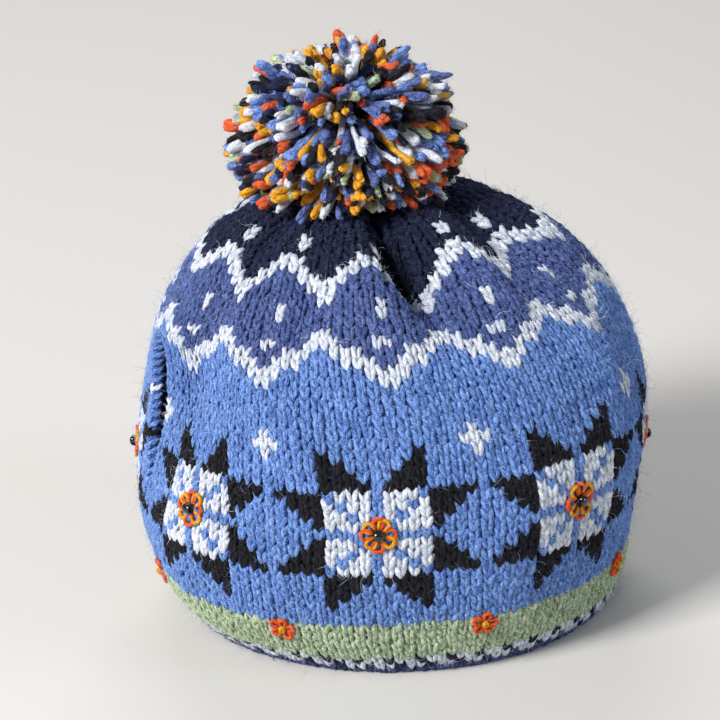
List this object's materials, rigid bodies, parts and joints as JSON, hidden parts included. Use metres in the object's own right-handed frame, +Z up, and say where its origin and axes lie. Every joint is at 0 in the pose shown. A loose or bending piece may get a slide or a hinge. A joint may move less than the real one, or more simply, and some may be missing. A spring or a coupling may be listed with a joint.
{
  "type": "tea cosy",
  "caption": "Hand-knitted wool tea cosy, gathered at the crown under a cut-wool pompom, open at the hem, with side slots for a teapot's spout and handle.",
  "frame": {"origin": "on the surface that the hem rests on, below the middle of the whole part's bounding box", "axes": "+Z up from the hem to the pompom; +X to the side with the handle slot, -X to the side with the spout slot; -Y to the front panel, +Y to the back panel"},
  "size_m": [0.1973, 0.1802, 0.215],
  "materials": {
    "blue_wool": "thick two-ply wool in stocking stitch, matt and slightly hairy",
    "mixed_wool": "cut wool ends in blue, navy, white, gold, orange and pale green"
  },
  "bodies": {
    "root": {"knitted_cover": "blue_wool", "pompom": "mixed_wool"}
  },
  "joints": []
}
